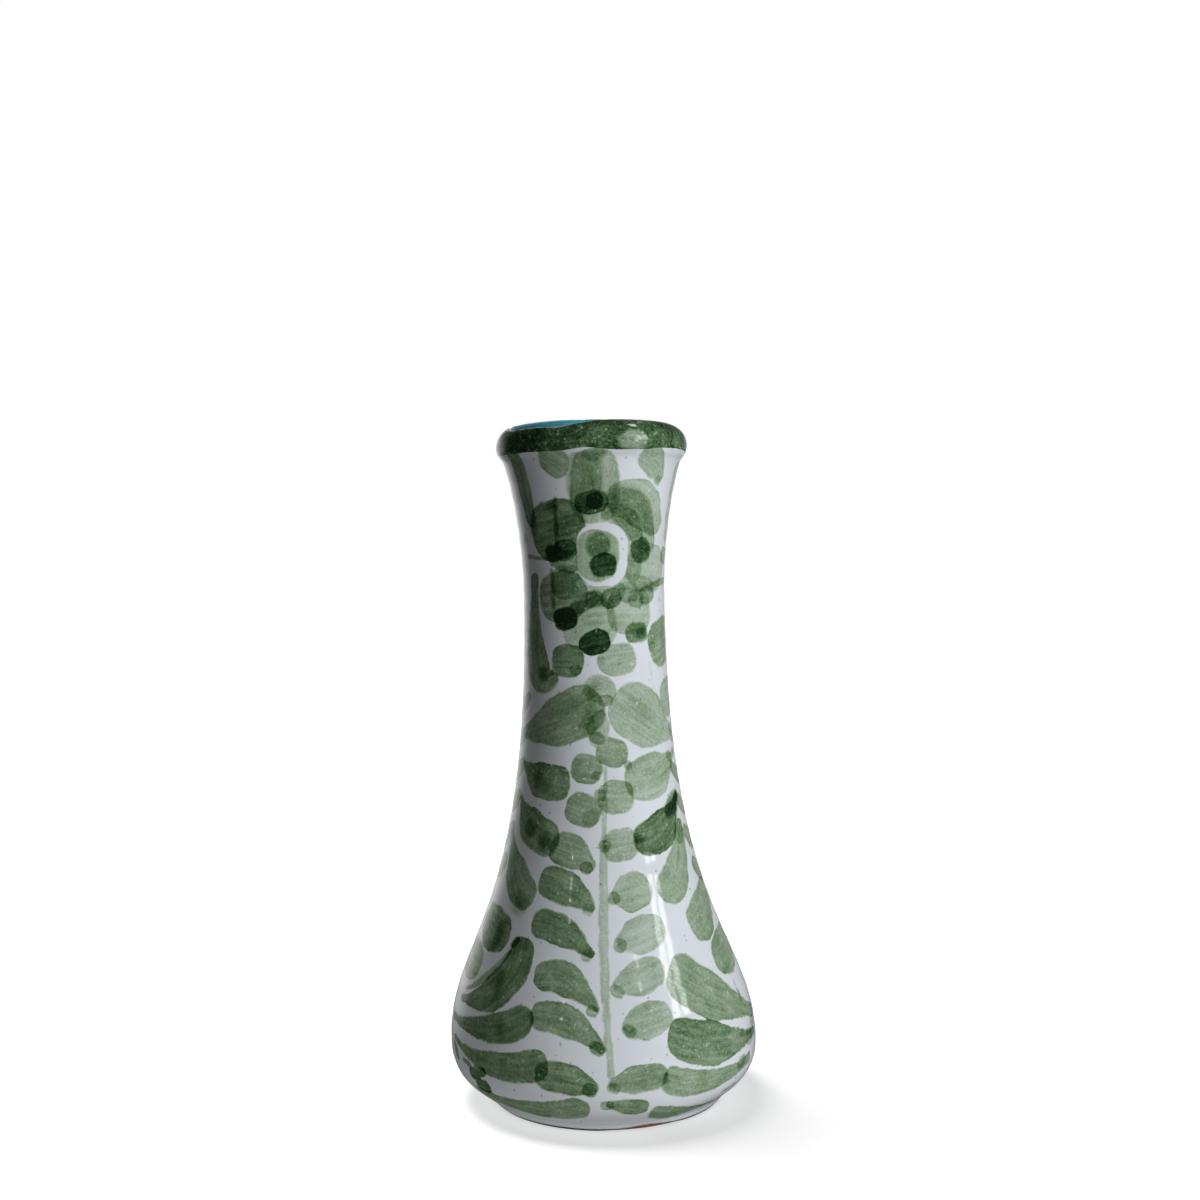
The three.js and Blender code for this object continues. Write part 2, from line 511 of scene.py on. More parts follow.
def right_plume():
    """Leaves that fan out to the right of the frond."""
    leaves = [
        leaf(0.62, (20, 98), (41, 97), (77, 103.4), (5.5, 6.6, 1.4)),
        leaf(1.5, (22.5, 80.8), (43, 81.4), (69.5, 91.6), (4.2, 5.6, 1.4)),
        leaf(0.72, (33.5, 67.5), (48.5, 68.4), (66, 83.6), (4, 5.6, 3)),
        leaf(0.78, (48.3, 54.8), (62, 56.2), (84, 64), (4, 6.2, 4)),
        leaf(0.9, (57.8, 44), (72, 44.8), (90, 48), (4, 6, 4.5)),
        leaf(0.86, (32, 46.6), (46, 37), (82, 25.2), (6.4, 6.9, 2.2)),
        leaf(1.22, (25.4, 30.5), (42, 24), (80, 20.4), (5.4, 6.2, 1.4)),
        leaf(0.82, (21.2, 18.4), (38, 14), (70, 15.2), (4.6, 3.5, 1.6)),
    ]
    touches = [
        dab(0.6, (60, 101.6), (69.5, 102), 2.6),
        dab(1.5, (49.5, 85), (69, 91), 2.7, soft=0.5),
        dab(0.8, (23, 80.6), (29, 79), 3, soft=0.6),
        dab(0.5, (57, 77), (66.5, 83.4), 2.8),
        dab(0.5, (56, 14.4), (64.2, 15.8), 1.8),
        dab(0.45, (65, 20.6), (73.5, 20.3), 2.5),
        dab(0.4, (72, 24), (79, 22.5), 1.8),
        dab(0.5, (67.4, 37), (68.8, 30.5), 0.8),
        dab(0.5, (50, 8.4), (60, 8.6), 1),
    ]
    return leaves + touches


def sprig(angle, low, high):
    """A small upright spray between the two painted faces: a thin stalk with leaves on both sides."""
    bend = (angle - 1, (low + high) / 2)
    strokes = [leaf(0.4, (angle + 1, high), bend, (angle, low), (0.5, 1.1, 0.8))]
    joints = int((high - low) / SPRIG_STEP)
    for joint in range(joints):
        height = low + SPRIG_STEP * (joint + 0.7)
        reach = SPRIG_REACH / radius_at(height)
        size = 2.2 + 1.1 * (1 - joint / joints)
        for side in (-1, 1):
            root = (angle + side * 1.5, height)
            middle = (angle + side * 0.55 * reach, height + 2.8)
            tip = (angle + side * reach, height + 6.5)
            strokes.append(leaf(0.8, root, middle, tip, (0.6 * size, size, 0.6 * size)))
            strokes.append(dab(0.6, root, (root[0] + side * 4, height + 0.8), 1.3))
    return strokes


def garland():
    """Broad leaves between the flower and the frond."""
    leaves = [
        leaf(1.3, (-36, 130), (-22, 130.6), (-9, 129.2), (4, 4.9, 3)),
        leaf(0.56, (1.4, 130.4), (17, 130.8), (34, 131.6), (2.2, 4.7, 5)),
        leaf(1.0, (-54, 157), (-54, 130), (-30, 126.6), (2, 5.6, 2.4)),
        leaf(0.85, (47.3, 134.6), (66, 135), (90, 139), (4, 7.4, 5)),
        leaf(0.6, (59.5, 119), (74, 118.8), (92, 121), (5, 6, 4)),
        leaf(0.8, (-72, 108.8), (-25, 114), (4, 120.6), (2.4, 7.3, 7.8), fade=0.2),
        leaf(0.45, (-9, 123), (2, 122.6), (13.6, 119.6), (3.6, 4.6, 1.9)),
        leaf(0.56, (19, 122.2), (36, 114.6), (84, 106.2), (5.8, 8.6, 2)),
        leaf(0.2, (22, 119), (31, 116), (46, 112.4), (4, 5.6, 4), soft=1.4),
        leaf(0.5, (-1.5, 117.4), (1.4, 112), (1.4, 106), (2.4, 3.4, 2.6)),
        leaf(0.25, (-30, 113.6), (-14, 117.4), (3, 121), (4, 6, 5), soft=1.8),
    ]
    touches = [
        dab(0.7, (-20, 128.3), (-10, 128), 2.4),
        puddle(1.2, (-51, 126.4), (-38, 127), 3.6),
        dab(0.9, (-38.5, 127.6), (-33, 127.2), 1.5),
        dab(0.3, (47.6, 134.4), (56, 133.4), 2.6),
        dab(0.4, (1.6, 130.4), (9, 131), 2.4, soft=0.4),
        dab(0.5, (1, 119), (13.2, 119.4), 1.8),
        puddle(0.55, (2, 125), (-6, 118.5), 1.8),
        puddle(0.6, (-2, 117), (-10.5, 111), 1.9),
        dab(0.8, (-4.4, 109.6), (6, 108), 1.8),
        puddle(0.1, (-46, 112), (-36, 108), 2.6),
        dab(0.4, (69, 110), (80, 108.5), 2.4),
        dab(0.14, (47.5, 130), (50.5, 123.5), 0.6, soft=0.4),
        dab(0.16, (50.5, 123.5), (59, 116), 0.6, soft=0.4),
    ]
    return leaves + touches


def flower():
    """The five-petalled flower on the neck, with dark dabs round a pale eye."""
    petals = [
        leaf(0.58, (2, 190.6), (2, 180), (2, 169.5), (5.6, 7.3, 7)),
        leaf(0.6, (-6, 190), (-7.6, 181), (-5, 172), (3, 4.4, 3.6), soft=0.4),
        leaf(1.3, (-49.5, 163.8), (-34, 167.6), (-5, 168.5), (3.8, 8.6, 9)),
        leaf(0.88, (-48, 149), (-35, 148.8), (-5, 150.5), (7, 9.2, 9)),
        leaf(0.58, (10, 176.5), (38, 174.8), (58, 166.5), (4.4, 6.8, 3.4)),
        leaf(0.66, (8, 175.5), (31, 172.6), (49, 160.5), (3.4, 6.4, 4), soft=0.5),
        leaf(0.48, (26, 157.4), (48, 157), (72, 155.4), (5.6, 7.2, 5.6)),
        leaf(0.5, (-26, 139.6), (-3, 141), (18, 141.5), (4.4, 8.4, 5)),
        leaf(0.5, (10, 144.6), (31, 144.6), (51, 145), (7.4, 8.6, 6)),
    ]
    second = [
        leaf(0.7, (-6, 189.6), (1, 189), (9, 189.8), (0.9, 1.8, 0.9), soft=0.7),
        leaf(0.5, (2.5, 189), (3.4, 184), (3, 178), (1.4, 1.8, 1.4), soft=0.5),
        leaf(0.35, (-28.5, 169), (-18, 169), (-4, 168.4), (7.6, 8.8, 6), soft=0.5),
        leaf(0.75, (-35.4, 152), (-25, 153), (-6, 152.6), (6.8, 8, 6.4)),
        leaf(0.8, (-37, 159.6), (-25, 159.4), (-10, 158), (2, 2.8, 4)),
        leaf(0.45, (-20, 158), (-16, 154), (-8, 150), (2.4, 3.4, 3)),
        leaf(0.5, (6, 173), (27, 168), (31, 153), (2.5, 4.6, 3.6)),
        leaf(0.45, (-10, 150.6), (8, 150), (26, 151), (2, 2.4, 2.6)),
        leaf(0.42, (16, 152.4), (36, 152.4), (56, 151.4), (2.2, 2.6, 1.4)),
        leaf(0.3, (-5, 144), (0, 142), (6, 142), (2.6, 3.4, 2.6), soft=0.9),
    ]
    bands = [
        dab(1.1, (-26.8, 177.6), (-29, 163), 0.9, soft=0.3),
        dab(1.1, (-34.8, 157.6), (-33.6, 145), 1.1, soft=0.35),
        dab(0.8, (-38, 173.8), (-26, 175.2), 1.4, soft=0.5),
        dab(0.9, (-63, 160.9), (-37, 159.6), 0.8, soft=0.2),
        dab(0.75, (50, 151.9), (90, 153.2), 1.2, soft=0.25),
    ]
    eye = [
        leaf(0.66, (7.6, 167.6), (3.2, 161), (3.4, 153), (4, 6.6, 3.6), late=True),
        dab(0.85, (-6, 162.4), (13, 164.6), 3.8, soft=0.3),
        dab(2.1, (-3, 157.2), (17.8, 158.6), 3.4),
    ]
    dabs = [
        dab(1.4, (-12.4, 175), (11.6, 176.4), 3.4),
        dab(2.2, (-4.6, 175.6), (7.6, 176.4), 3.2, soft=0.25),
        dab(1.5, (30, 160.6), (49.6, 163), 3.6, soft=0.3),
        dab(2.2, (-40, 161.6), (-25, 161.2), 3.5, soft=0.25),
        dab(1.2, (-32, 161.6), (-12.2, 162.8), 3.2, soft=0.25),
        leaf(3.1, (-33.4, 142), (-24, 142.6), (-14, 144), (2.8, 3.9, 2.2), late=True),
        dab(0.8, (-19, 144.8), (4, 149.6), 2.6, soft=0.3),
        dab(1.0, (-7, 147.4), (8, 149.2), 2.5, soft=0.25),
        dab(1.15, (5, 147.6), (22, 149.2), 2.9),
        dab(0.5, (19.5, 149.6), (38, 150.8), 3.4, soft=0.3),
        dab(0.65, (28, 148.8), (43, 147.4), 2.6, soft=0.25),
        dab(0.75, (38.5, 148), (56, 150), 2.8),
        leaf(2.6, (-11.4, 134.6), (1, 136), (12, 137), (1.9, 3.7, 1.9), late=True),
        dab(1.2, (24.6, 138), (46.4, 138.6), 3.1, soft=0.25),
        dab(0.5, (34, 138), (44, 138), 2.2, soft=0.3),
        dab(0.1, (-58, 168.8), (-46, 168.8), 2.8),
        dab(0.35, (-68, 165.8), (-60, 166), 1.6),
        dab(0.7, (66.5, 160.4), (84, 160), 2.7),
    ]
    fringe = [
        leaf(0.8, (-34, 189.4), (-25, 187.6), (-16.4, 184), (2.4, 6, 4.6)),
        leaf(0.6, (31, 188.6), (43, 187), (54.4, 181.6), (2.8, 4.2, 2)),
        dab(0.4, (47, 182.4), (54.2, 181.2), 1.8),
        leaf(0.95, (-57, 192), (-54.5, 180), (-51.5, 169), (3.4, 3.2, 2.2)),
        leaf(0.4, (79, 188), (79.5, 176), (79, 164), (3.2, 3.4, 3)),
    ]
    return petals + second + bands + eye + dabs + fringe


def eye_ring():
    """The unpainted ring round the eye of the flower."""
    return Stroke(0, ((7.2, 169.9), (7.2, 161), (7.2, 151.7)), (7.2, 7.5, 7.2))


def turned_round(stroke):
    """The same stroke as the painter made it again on the far side, never quite alike."""
    nudge = rng.normal(0, (1.2, 0.5), (3, 2))
    path = stroke.path * (-1, 1) + (180, 0) + nudge
    widths = [w * rng.uniform(0.93, 1.06) for w in stroke.widths]
    again = Stroke(stroke.ink * rng.uniform(0.85, 1.15), path, widths, stroke.soft, stroke.late)
    again.fade, again.side = stroke.fade, -stroke.side
    return again


# ---------------------------------------------------------------- materials


class Nodes:
    """Short names for making and linking shader nodes."""

    def __init__(self, tree):
        self.tree = tree

    def add(self, kind, **settings):
        inputs = settings.pop("inputs", {})
        node = self.tree.nodes.new(kind)
        for name, value in settings.items():
            setattr(node, name, value)
        for name, value in inputs.items():
            self.feed(node.inputs[name], value)
        return node

    def feed(self, socket, value):
        if isinstance(value, bpy.types.NodeSocket):
            self.tree.links.new(value, socket)
        else:
            socket.default_value = value

    def math(self, operation, first, second=0.0, third=0.0):
        node = self.add("ShaderNodeMath", operation=operation)
        for socket, value in zip(node.inputs, (first, second, third)):
            self.feed(socket, value)
        return node.outputs[0]

    def spread(self, value, low, high, to_low=0.0, to_high=1.0, smooth=False):
        node = self.add("ShaderNodeMapRange", interpolation_type="SMOOTHSTEP" if smooth else "LINEAR")
        for name, given in (
            ("Value", value),
            ("From Min", low),
            ("From Max", high),
            ("To Min", to_low),
            ("To Max", to_high),
        ):
            self.feed(node.inputs[name], given)
        return node.outputs[0]

    def noise(self, vector, scale, detail=2.0, rough=0.5, warp=0.0):
        node = self.add("ShaderNodeTexNoise")
        self.feed(node.inputs["Vector"], vector)
        node.inputs["Scale"].default_value = scale
        node.inputs["Detail"].default_value = detail
        node.inputs["Roughness"].default_value = rough
        node.inputs["Distortion"].default_value = warp
        return node.outputs["Fac"]

    def split(self, vector):
        node = self.add("ShaderNodeSeparateXYZ")
        self.feed(node.inputs[0], vector)
        return node.outputs

    def join(self, x, y, z):
        node = self.add("ShaderNodeCombineXYZ")
        for socket, value in zip(node.inputs, (x, y, z)):
            self.feed(socket, value)
        return node.outputs[0]

    def attribute(self, name, output):
        return self.add("ShaderNodeAttribute", attribute_name=name).outputs[output]


def new_material(name):
    material = bpy.data.materials.new(name)
    material.use_nodes = True
    material.node_tree.nodes.clear()
    nodes = Nodes(material.node_tree)
    output = nodes.add("ShaderNodeOutputMaterial")
    shader = nodes.add("ShaderNodeBsdfPrincipled")
    material.node_tree.links.new(shader.outputs[0], output.inputs["Surface"])
    place = nodes.add("ShaderNodeTexCoord").outputs["Object"]
    return material, nodes, shader, place


def stroke_group():
    """Turns one layer's stored distances into pigment, with brush streaks and a slightly ragged edge."""
    tree = bpy.data.node_groups.new("brush_layer", "ShaderNodeTree")
    for name, kind in (
        ("Cover", "NodeSocketVector"),
        ("Grain", "NodeSocketVector"),
        ("Waver", "NodeSocketFloat"),
    ):
        tree.interface.new_socket(name, in_out="INPUT", socket_type=kind)
    tree.interface.new_socket("Ink", in_out="OUTPUT", socket_type="NodeSocketFloat")
    nodes = Nodes(tree)
    given = nodes.add("NodeGroupInput").outputs
    inside_by, ink, soft = nodes.split(given["Cover"])
    along, across, phase = nodes.split(given["Grain"])
    reach = nodes.math("ADD", inside_by, given["Waver"])
    slow_along = nodes.math("MULTIPLY", along, 0.16)
    slow_across = nodes.math("MULTIPLY", across, 0.1)
    edge = nodes.noise(nodes.join(slow_along, slow_across, phase), 1.0, 1.0)
    blur = nodes.math("MULTIPLY", soft, nodes.spread(edge, 0.38, 0.66, 0.7, 2.6))
    outer = nodes.math("MULTIPLY", blur, -0.6)
    inner = nodes.math("MULTIPLY", blur, 1.4)
    mask = nodes.spread(reach, outer, inner, smooth=True)
    long_streak = nodes.math("MULTIPLY", along, 0.11)
    thin_streak = nodes.math("MULTIPLY", across, 0.9)
    streak = nodes.noise(nodes.join(long_streak, thin_streak, phase), 1.0, 2.5, 0.6)
    flow = nodes.spread(streak, 0.3, 0.7, 0.74, 1.26)
    rim = nodes.spread(reach, 0.1, 0.9, 1.12, 1.0, smooth=True)
    laid = nodes.math("MULTIPLY", mask, ink)
    total = nodes.math("MULTIPLY", laid, nodes.math("MULTIPLY", flow, rim))
    result = nodes.add("NodeGroupOutput")
    nodes.feed(result.inputs["Ink"], total)
    return tree


WHITE = (0.72, 0.755, 0.795)
PIGMENT = (0.28, 0.385, 0.20)
BLUE_HOLDS = 0.06
PORE_COLOUR = (0.12, 0.09, 0.06, 1)
MOST_INK = 4.0
STOPS = 12


def pigment_colour(nodes, ink):
    """Colour of the white glaze seen through an amount of copper green."""
    ramp = nodes.add("ShaderNodeValToRGB")
    stops = ramp.color_ramp.elements
    for i in range(1, STOPS):
        stops.new(i / STOPS)
    for i, stop in enumerate(stops):
        amount = MOST_INK * stop.position
        amounts = (amount, amount, amount * (1 - BLUE_HOLDS * amount))
        stop.color = (*[w * p**a for w, p, a in zip(WHITE, PIGMENT, amounts)], 1)
    nodes.feed(ramp.inputs[0], nodes.math("DIVIDE", ink, MOST_INK))
    return ramp.outputs[0]


def painted_glaze(name, brush, base_ink=0.0, mottle=0.2, coarse=0.24, speckle=0.67):
    """Glossy tin glaze under the stored brush strokes."""
    material, nodes, shader, place = new_material(name)
    waver = nodes.spread(nodes.noise(place, 260, 3, 0.6), 0.3, 0.7, -0.28, 0.28)
    amounts = []
    for layer in range(LAYERS):
        used = nodes.add("ShaderNodeGroup", node_tree=brush)
        nodes.feed(used.inputs["Cover"], nodes.attribute(f"cover{layer}", "Vector"))
        nodes.feed(used.inputs["Grain"], nodes.attribute(f"grain{layer}", "Vector"))
        nodes.feed(used.inputs["Waver"], waver)
        amounts.append(used.outputs["Ink"])
    early = amounts[0]
    for amount in amounts[1:LATE_FROM]:
        early = nodes.math("ADD", early, amount)
    clear = nodes.math("ADD", nodes.attribute("reserve", "Fac"), waver)
    early = nodes.math("ADD", early, base_ink)
    early = nodes.math("MULTIPLY", early, nodes.spread(clear, -0.25, 0.25, 1.0, 0.0, smooth=True))
    ink = early
    for amount in amounts[LATE_FROM:]:
        ink = nodes.math("ADD", ink, amount)
    cloud = nodes.spread(nodes.noise(place, 190, 3, 0.55), 0.3, 0.7, 1 - mottle, 1 + mottle)
    grains = nodes.spread(nodes.noise(place, 1300, 2, 0.7), 0.3, 0.7, 1 - coarse, 1 + coarse)
    fine = nodes.noise(place, 900, 1, 0.5)
    flecks = nodes.spread(fine, speckle, speckle + 0.08, 1.0, 0.45, smooth=True)
    broken = nodes.math("MULTIPLY", cloud, nodes.math("MULTIPLY", grains, flecks))
    ink = nodes.math("MULTIPLY", ink, broken)
    tint = nodes.spread(nodes.noise(place, 70, 3, 0.5), 0.3, 0.7, 0.0, 0.035)
    ink = nodes.math("ADD", ink, tint)
    pores = nodes.spread(nodes.noise(place, 760, 0, 0.5), 0.8, 0.84, 0.0, 1.0, smooth=True)
    colour = nodes.add("ShaderNodeMix", data_type="RGBA")
    nodes.feed(colour.inputs[0], nodes.math("MULTIPLY", pores, 0.45))
    nodes.feed(colour.inputs[6], pigment_colour(nodes, ink))
    colour.inputs[7].default_value = PORE_COLOUR
    nodes.feed(shader.inputs["Base Color"], colour.outputs[2])
    gloss = nodes.spread(nodes.noise(place, 120, 2, 0.5), 0.3, 0.7, 0.06, 0.13)
    nodes.feed(shader.inputs["Roughness"], gloss)
    shader.inputs["IOR"].default_value = 1.5
    peel = nodes.noise(place, 260, 2, 0.5)
    bump = nodes.add("ShaderNodeBump")
    bump.inputs["Strength"].default_value = 0.5
    bump.inputs["Distance"].default_value = 0.00004
    nodes.feed(bump.inputs["Height"], peel)
    nodes.feed(shader.inputs["Normal"], bump.outputs[0])
    return material


def liner_material():
    """Turquoise glaze, mottled lighter and darker at random."""
    material, nodes, shader, place = new_material("turquoise_liner")
    cloud = nodes.noise(place, 90, 3, 0.55)
    ramp = nodes.add("ShaderNodeValToRGB")
    first, last = ramp.color_ramp.elements
    first.position, first.color = 0.3, (0.045, 0.28, 0.38, 1)
    last.position, last.color = 0.72, (0.10, 0.46, 0.54, 1)
    nodes.feed(ramp.inputs[0], cloud)
    nodes.feed(shader.inputs["Base Color"], ramp.outputs[0])
    nodes.feed(shader.inputs["Roughness"], nodes.spread(nodes.noise(place, 150), 0.3, 0.7, 0.08, 0.16))
    return material


def clay_material():
    """Bare low-fired terracotta: chalky, mottled and speckled with grog."""
    material, nodes, shader, place = new_material("bare_terracotta")
    cloud = nodes.noise(place, 120, 4, 0.6)
    ramp = nodes.add("ShaderNodeValToRGB")
    first, last = ramp.color_ramp.elements
    first.position, first.color = 0.3, (0.30, 0.105, 0.05, 1)
    last.position, last.color = 0.72, (0.50, 0.21, 0.115, 1)
    nodes.feed(ramp.inputs[0], cloud)
    grog = nodes.spread(nodes.noise(place, 1100, 2, 0.6), 0.6, 0.7, 0.0, 0.6, smooth=True)
    mixed = nodes.add("ShaderNodeMix", data_type="RGBA")
    nodes.feed(mixed.inputs[0], grog)
    nodes.feed(mixed.inputs[6], ramp.outputs[0])
    mixed.inputs[7].default_value = (0.62, 0.40, 0.27, 1)
    nodes.feed(shader.inputs["Base Color"], mixed.outputs[2])
    shader.inputs["Roughness"].default_value = 0.88
    bump = nodes.add("ShaderNodeBump")
    bump.inputs["Strength"].default_value = 0.6
    bump.inputs["Distance"].default_value = 0.0002
    nodes.feed(bump.inputs["Height"], nodes.noise(place, 900, 4, 0.65))
    nodes.feed(shader.inputs["Normal"], bump.outputs[0])
    return material


# ---------------------------------------------------------------- pieces


def finish_piece(piece, material, slot, *nodes):
    vase_pieces.objects.link(piece)
    piece.data.materials.append(material)
    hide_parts(*nodes)
    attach(piece, "root")


LAP_SHORT = 0.3
LAP_UNDER = 0.45
LAP_PALE = 0.5
RIM_PROUD = 0.12
BAND_UNDER = 2
GLAZE_EDGE = 0.15
CLAY_EDGE = 0.01


def glaze_foot(angle):
    """Lower edge of the white glaze, wiped back a little further on one side."""
    return 1.7 * near_angle(angle, 18, 13) + 0.8 * near_angle(angle, 165, 22)


def band_start(angle):
    """Lower edge of the green band round the lip."""
    dips = 0.7 * near_angle(angle, -2, 9) + 0.9 * near_angle(angle, 62, 27)
    far_dips = 0.6 * near_angle(angle, 172, 12) + 0.8 * near_angle(angle, -120, 24)
    wave = wavering(angle, 0.17, (5, 8, 13, 21), 0.6)
    return OUTSIDE.walk_to(RIM_BAND_HEIGHT - 0.2) + wave + dips + far_dips


def lap(angle):
    """Where the outer band of glaze meets the liner on the crown of the lip."""
    pulled = 4.6 * near_angle(angle, -18, 27) + 5 * near_angle(angle, -62, 30)
    far_pulled = 2.4 * near_angle(angle, 150, 30)
    return OUTSIDE.length - LAP_SHORT - (pulled + far_pulled) + wavering(angle, 0.1)


def white_coat(brush):
    """White glaze, which ends out of sight under the green band, with both painted faces on it."""
    stop = OUTSIDE.walk_to(RIM_BAND_HEIGHT + BAND_UNDER)
    piece, angle, walk = coat(
        "white_glaze_coat", OUTSIDE, glaze_foot, stop, BODY_ROWS, round_edge=GLAZE_EDGE
    )
    canvas = Canvas(angle, OUTSIDE.at(walk)[1])
    front = [*garland(), *fern(), *left_plume(), *right_plume(), *flower()]
    canvas.keep_clear(eye_ring())
    canvas.keep_clear(turned_round(eye_ring()))
    for stroke in [*front, *[turned_round(stroke) for stroke in front]]:
        canvas.paint(stroke)
    for stroke in [*sprig(91, 58, 96), *sprig(-90, 60, 122)]:
        canvas.paint(stroke)
    canvas.store(piece)
    finish_piece(piece, painted_glaze("painted_tin_glaze", brush), "white_tin_glaze", "white_glaze")


def rim_strokes(base):
    """The loaded brush drawn round the lip, its dark pools, and the pale blob where it was lifted."""
    sweeps = [
        leaf(0.25, (-66, 4), (-46, 4.4), (-27, 3.6), (4.6, 5, 4), soft=0.6),
        leaf(0.2, (-36, 4.5), (-20, 5), (-8, 4.6), (4.6, 5.5, 4.6), soft=0.6),
        leaf(0.15, (-14, 5.5), (3, 6), (22, 6), (5, 6, 5), soft=0.6),
        leaf(-1.15, (15.5, 2.4), (26, 2.6), (35, 3.2), (2.4, 3.6, 3.2), soft=0.5),
    ]
    pools = [
        puddle(0.9, (-60, 0.9), (-36, 0.8), 0.9),
        puddle(0.6, (-34, 0.9), (-13, 0.9), 0.8),
        puddle(0.8, (-54, 4.6), (-34, 5), 0.9),
        puddle(1.0, (-42, 2.8), (-29, 3.2), 0.8),
        puddle(0.5, (-58, 7), (-38, 7.4), 0.7),
        dab(0.7, (34.6, 1), (34.8, 7), 0.45),
        puddle(0.4, (-6, 1.6), (12, 1.4), 0.8),
    ]
    strokes = [lifted(stroke, base) for stroke in sweeps + pools]
    return strokes + [turned_round(stroke) for stroke in strokes]


def lifted(stroke, base):
    stroke.path = stroke.path + (0, base)
    return stroke


def stands_proud(angle, height):
    """The band of the lip lies over the white glaze."""
    return ripple(angle, height) + RIM_PROUD


def rim_coat(brush):
    """Green band round the lip, with a pale line along its edge where it meets the liner."""
    piece, angle, walk = coat("rim_glaze_band", OUTSIDE, band_start, lap, RIM_ROWS, rough=stands_proud)
    base = RIM_BAND_HEIGHT
    canvas = Canvas(angle, base + walk - OUTSIDE.walk_to(base))
    for stroke in rim_strokes(base):
        canvas.paint(stroke)
    canvas.reserve = LAP_PALE - (lap(angle) - walk).ravel()
    canvas.store(piece)
    look = {"base_ink": 2.0, "mottle": 0.4, "coarse": 0.4, "speckle": 0.63}
    material = painted_glaze("painted_rim_glaze", brush, **look)
    finish_piece(piece, material, "green_glaze", "rim_glaze")


def liner_start(angle):
    """Outer edge of the liner, a little way under the edge of the green band."""
    rolled = OUTSIDE.length - LINER_EDGE
    return lap(angle) - rolled - LAP_UNDER


def liner_coat():
    """Turquoise glaze from the lip, down the bore, to the middle of the floor."""
    piece, _, _ = coat("liner_glaze_coat", LINER, liner_start, LINER.length, LINER_ROWS)
    finish_piece(piece, liner_material(), "turquoise_glaze", "liner_glaze")


def clay_body():
    """Foot ring and turned recess: all of the clay that is not under glaze."""
    foot = chain(
        turned_recess(),
        bezier((RECESS_RADIUS, RECESS_DEPTH), (24.9, RECESS_DEPTH), (25.2, 1.4), (26, 0.4), 12),
        bezier((26, 0.4), (26.3, 0), (26.6, 0), (27, 0), 6),
        np.array([(27, 0), (30, 0), (32.6, 0)]),
        bezier((32.6, 0), (33.2, 0), (33.7, 0.02), (33.9, 0.6), 8),
    )
    outline = Outline(foot)
    piece, _, _ = coat(
        "clay_body_fired", outline, 0.0, outline.length, CLAY_ROWS, CLAY_DEPTH, as_turned, CLAY_EDGE
    )
    finish_piece(piece, clay_material(), "fired_clay", "clay_body")


def turned_recess():
    """The recess under the foot, with the rings that the turning tool left in it."""
    radius = np.linspace(0.05, RECESS_RADIUS, 110)
    rings = TOOL_MARK * np.sin(2 * math.pi * radius / TOOL_PITCH)
    return np.stack([radius, RECESS_DEPTH + rings], -1)


def as_turned(angle, height):
    """No unevenness beyond the outline's own."""
    return np.zeros(np.broadcast_shapes(angle.shape, height.shape))


# ---------------------------------------------------------------- camera, floor and light

CAMERA_PLACE = (1.73, -462, 160.44)
CAMERA_DOWN = 1.624
CAMERA_ROLL = 0.994
FOCAL_LENGTH = 46.495
SENSOR = 36
CLIP_START = 0.01
FLOOR_HALF = 4.0
BOUNCE_HEIGHT = 0.0005


def camera():
    data = bpy.data.cameras.new("camera")
    data.sensor_width = SENSOR
    data.lens = FOCAL_LENGTH
    data.clip_start = CLIP_START
    holder = bpy.data.objects.new("camera", data)
    holder.location = [v * MM for v in CAMERA_PLACE]
    holder.rotation_mode = "XYZ"
    tilt = math.radians(90 - CAMERA_DOWN)
    turn = Matrix.Rotation(tilt, 4, "X") @ Matrix.Rotation(math.radians(-CAMERA_ROLL), 4, "Z")
    holder.rotation_euler = turn.to_euler("XYZ")
    bpy.context.scene.collection.objects.link(holder)
    bpy.context.scene.camera = holder


def floor():
    """A plain floor that glows by itself: painted light that is dimmer near the vase, as painted shade
    round its foot, and brighter far off, so that it fades into the white surroundings.
    """
    mesh = bpy.data.meshes.new("floor")
    half = FLOOR_HALF
    corners = [(-half, -half, 0), (half, -half, 0), (half, half, 0), (-half, half, 0)]
    mesh.from_pydata(corners, [], [(0, 1, 2, 3)])
    ground = bpy.data.objects.new("floor", mesh)
    bpy.context.scene.collection.objects.link(ground)
    ground_pieces.objects.link(ground)
    material, nodes, shader, place = new_material("floor_white")
    shade = nodes.spread(nodes.noise(place, 3, 2), 0.3, 0.7, 0.43, 0.46)
    nodes.feed(shader.inputs["Base Color"], nodes.join(shade, shade, shade))
    shader.inputs["Roughness"].default_value = 0.9
    shader.inputs["Emission Color"].default_value = (1, 1, 1, 1)
    # Painted light: the floor's own glow, dimmed near the vase as painted shade and raised to full white
    # far off.
    away = nodes.add("ShaderNodeVectorMath", operation="LENGTH")
    nodes.feed(away.inputs[0], place)
    painted_glow = nodes.spread(away.outputs["Value"], 0.1, 0.8, 0.62, 1.0, smooth=True)
    nodes.feed(shader.inputs["Emission Strength"], painted_glow)
    ground.data.materials.append(material)
    ground.visible_diffuse = False
    ground.visible_glossy = False


def panel(name, azimuth, elevation, distance, width, height, power, lit, glossy=True, colour=(1, 1, 1)):
    """A soft rectangular light that faces the middle of the vase and lights one collection."""
    data = bpy.data.lights.new(name, "AREA")
    data.shape = "RECTANGLE"
    data.size = width
    data.size_y = height
    data.energy = power
    data.color = colour
    lamp = bpy.data.objects.new(name, data)
    around, up = math.radians(azimuth), math.radians(elevation)
    middle = HEIGHT * MM / 2
    lamp.location = (
        distance * math.sin(around) * math.cos(up),
        -distance * math.cos(around) * math.cos(up),
        middle + distance * math.sin(up),
    )
    lamp.rotation_euler = (math.radians(90) - up, 0, around)
    lamp.visible_glossy = glossy
    lamp.light_linking.receiver_collection = lit
    bpy.context.scene.collection.objects.link(lamp)


